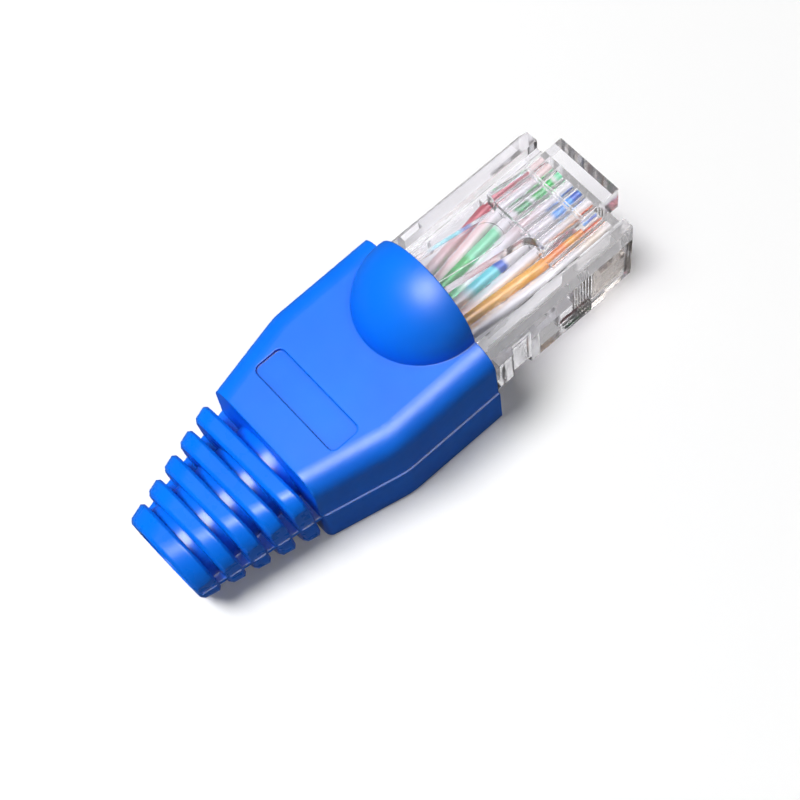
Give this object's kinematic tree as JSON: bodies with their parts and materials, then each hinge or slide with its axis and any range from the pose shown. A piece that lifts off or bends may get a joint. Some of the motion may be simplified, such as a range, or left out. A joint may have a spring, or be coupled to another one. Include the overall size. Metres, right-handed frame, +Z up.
{
  "type": "strain relief boot on modular plug",
  "caption": "Blue moulded strain relief boot with a ribbed tail, fitted on a clear modular plug whose latch lever runs under the boot's rounded hood.",
  "frame": {"origin": "below the middle of the overall length, on the plane of the boot's flat underside", "axes": "+X towards the plug's nose, +Y to the left seen from the tail, +Z up, on the latch's side"},
  "size_m": [0.0403, 0.0142, 0.0138],
  "materials": {
    "boot_pvc": "soft blue PVC, smooth satin moulding",
    "clear_housing": "clear polished polycarbonate",
    "contact_gold": "gold-plated blade, smooth",
    "insulation_white_orange": "white polyethylene insulation with a orange stripe",
    "insulation_orange": "solid orange polyethylene insulation",
    "insulation_white_green": "white polyethylene insulation with a green stripe",
    "insulation_blue": "solid blue polyethylene insulation",
    "insulation_white_blue": "white polyethylene insulation with a blue stripe",
    "insulation_green": "solid green polyethylene insulation",
    "insulation_white_brown": "white polyethylene insulation with a brown stripe",
    "insulation_brown": "solid brown polyethylene insulation"
  },
  "bodies": {
    "root": {"boot": "boot_pvc", "plug_housing": "clear_housing", "contact_1": "contact_gold", "contact_2": "contact_gold", "contact_3": "contact_gold", "contact_4": "contact_gold", "contact_5": "contact_gold", "contact_6": "contact_gold", "contact_7": "contact_gold", "contact_8": "contact_gold", "wire_white_orange": "insulation_white_orange", "wire_orange": "insulation_orange", "wire_white_green": "insulation_white_green", "wire_blue": "insulation_blue", "wire_white_blue": "insulation_white_blue", "wire_green": "insulation_green", "wire_white_brown": "insulation_white_brown", "wire_brown": "insulation_brown"}
  },
  "joints": []
}
